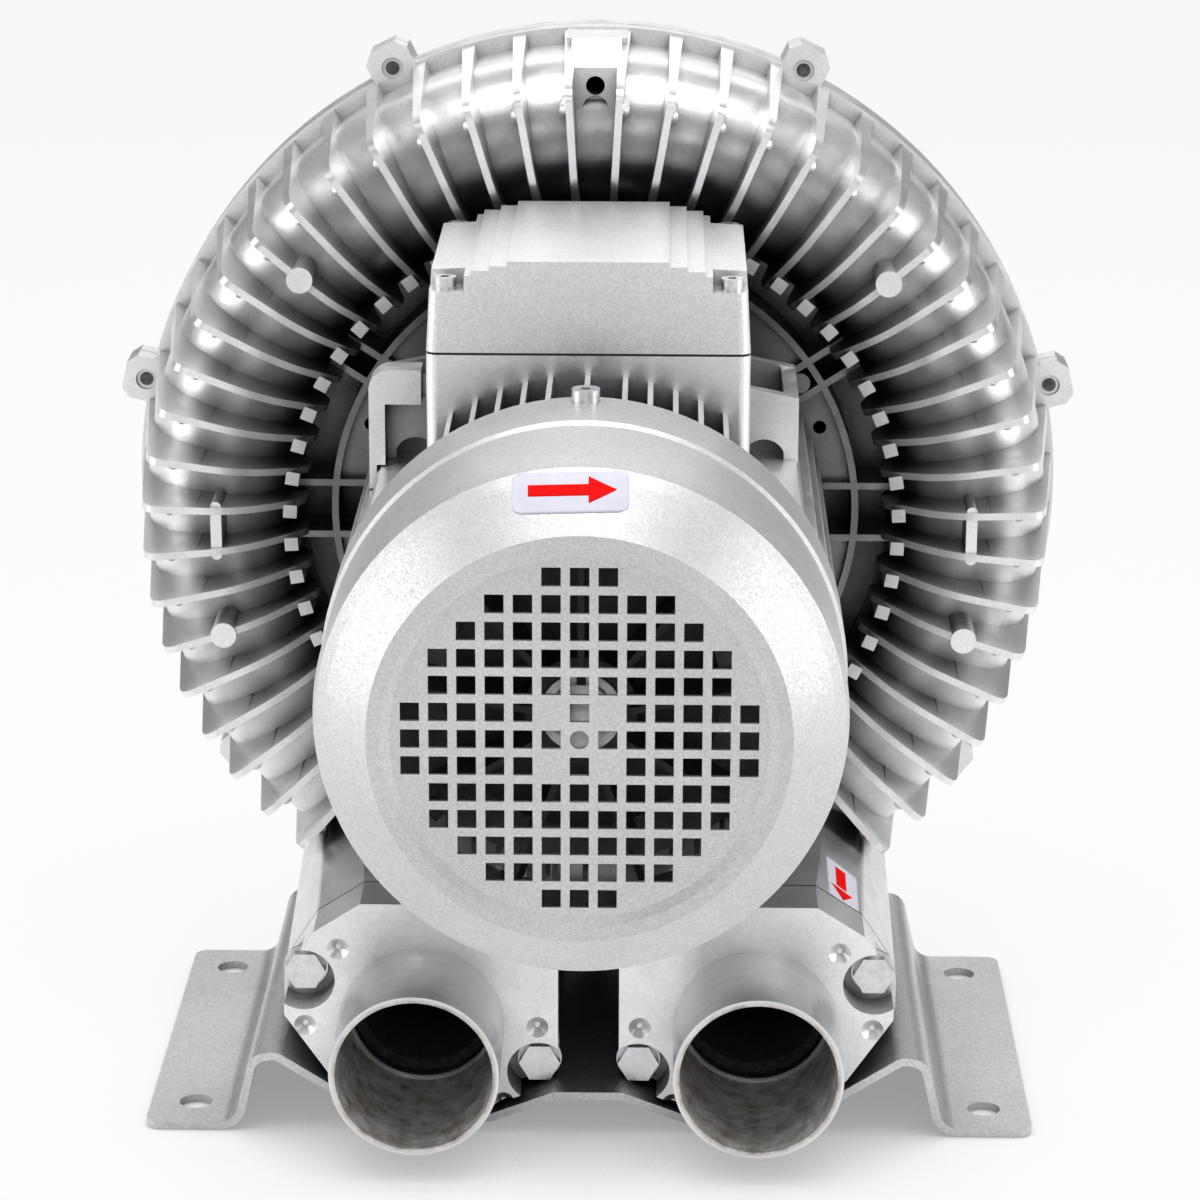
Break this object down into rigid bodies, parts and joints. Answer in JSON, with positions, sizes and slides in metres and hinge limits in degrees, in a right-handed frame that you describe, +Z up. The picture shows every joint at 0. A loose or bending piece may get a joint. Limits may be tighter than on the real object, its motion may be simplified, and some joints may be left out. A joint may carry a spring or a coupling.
{
  "type": "side_channel_blower",
  "caption": "Side channel blower with a finned ring casing, fan-cooled motor, terminal box, two front pipes and a pressed foot bracket",
  "frame": {"origin": "on the floor at the centre of the four foot holes", "axes": "+Z up; the motor axis runs along Y at 206 mm above the floor, fan cowl to -Y and casing cover to +Y; +X is to the right seen from the fan cowl"},
  "size_m": [0.363, 0.3752, 0.381],
  "materials": {
    "cast_aluminium": "satin cast surface with a thin silver coat",
    "painted_cowl": "silver paint with a fine sparkle",
    "bracket_sheet": "silver paint over pressed sheet steel",
    "bare_pipe": "bare steel tube, darker and slightly brown inside",
    "zinc_screw": "zinc-plated steel fastener",
    "machined_steel": "turned and ground steel",
    "polished_ball": "polished bearing steel",
    "electrical_steel": "stacked steel sheets",
    "copper_winding": "enamelled copper wire under lacquer",
    "brass_stud": "plain brass",
    "black_rubber": "matt black rubber",
    "grey_foam": "open-cell foam",
    "fan_plastic": "moulded black plastic",
    "board_plastic": "moulded brown plastic",
    "cage_plastic": "moulded natural plastic"
  },
  "bodies": {
    "blower": {"base_bracket": "bracket_sheet", "bracket_screws": "zinc_screw", "blower_housing": "cast_aluminium", "housing_cover": "cast_aluminium", "cover_seal": "black_rubber", "cover_screws": "zinc_screw", "inlet_flange": "cast_aluminium", "outlet_flange": "cast_aluminium", "inlet_pipe": "bare_pipe", "outlet_pipe": "bare_pipe", "inlet_gasket": "black_rubber", "outlet_gasket": "black_rubber", "inlet_silencer": "grey_foam", "outlet_silencer": "grey_foam", "port_bolts": "zinc_screw", "port_washers": "zinc_screw", "motor_frame": "cast_aluminium", "stator_core": "electrical_steel", "stator_windings": "copper_winding", "drive_end_shield": "cast_aluminium", "shield_screws": "zinc_screw", "fan_end_shield": "cast_aluminium", "tie_bolts": "zinc_screw", "wave_spring": "machined_steel", "shaft_seal": "black_rubber", "side_elbow": "cast_aluminium", "terminal_box_lid": "painted_cowl", "lid_gasket": "black_rubber", "lid_screws": "zinc_screw", "terminal_board": "board_plastic", "terminal_studs": "brass_stud", "fan_cowl": "painted_cowl", "cowl_screws": "zinc_screw", "drive_bearing_outer": "machined_steel", "fan_bearing_outer": "machined_steel"},
    "rotor": {"shaft": "machined_steel", "rotor_core": "electrical_steel", "rotor_end_rings": "cast_aluminium", "impeller": "cast_aluminium", "impeller_key": "machined_steel", "impeller_washer": "zinc_screw", "impeller_bolt": "zinc_screw", "cooling_fan": "fan_plastic", "fan_key": "machined_steel", "fan_clip": "machined_steel", "drive_bearing_inner": "machined_steel", "fan_bearing_inner": "machined_steel"},
    "drive_end_balls": {"drive_bearing_balls": "polished_ball", "drive_bearing_cage": "cage_plastic"},
    "fan_end_balls": {"fan_bearing_balls": "polished_ball", "fan_bearing_cage": "cage_plastic"}
  },
  "joints": [
    {"name": "rotor_spin", "type": "hinge", "parent": "blower", "child": "rotor", "pos_m": [0, 0, 0.206], "axis": [0, 1, 0], "continuous": true},
    {"name": "drive_end_balls_spin", "type": "hinge", "parent": "blower", "child": "drive_end_balls", "pos_m": [0, 0.012, 0.206], "axis": [0, 1, 0], "continuous": true},
    {"name": "fan_end_balls_spin", "type": "hinge", "parent": "blower", "child": "fan_end_balls", "pos_m": [0, -0.152, 0.206], "axis": [0, 1, 0], "continuous": true}
  ],
  "couplings": [
    {"joint": "drive_end_balls_spin", "follows": "rotor_spin", "ratio": 0.3974},
    {"joint": "fan_end_balls_spin", "follows": "rotor_spin", "ratio": 0.3974}
  ]
}
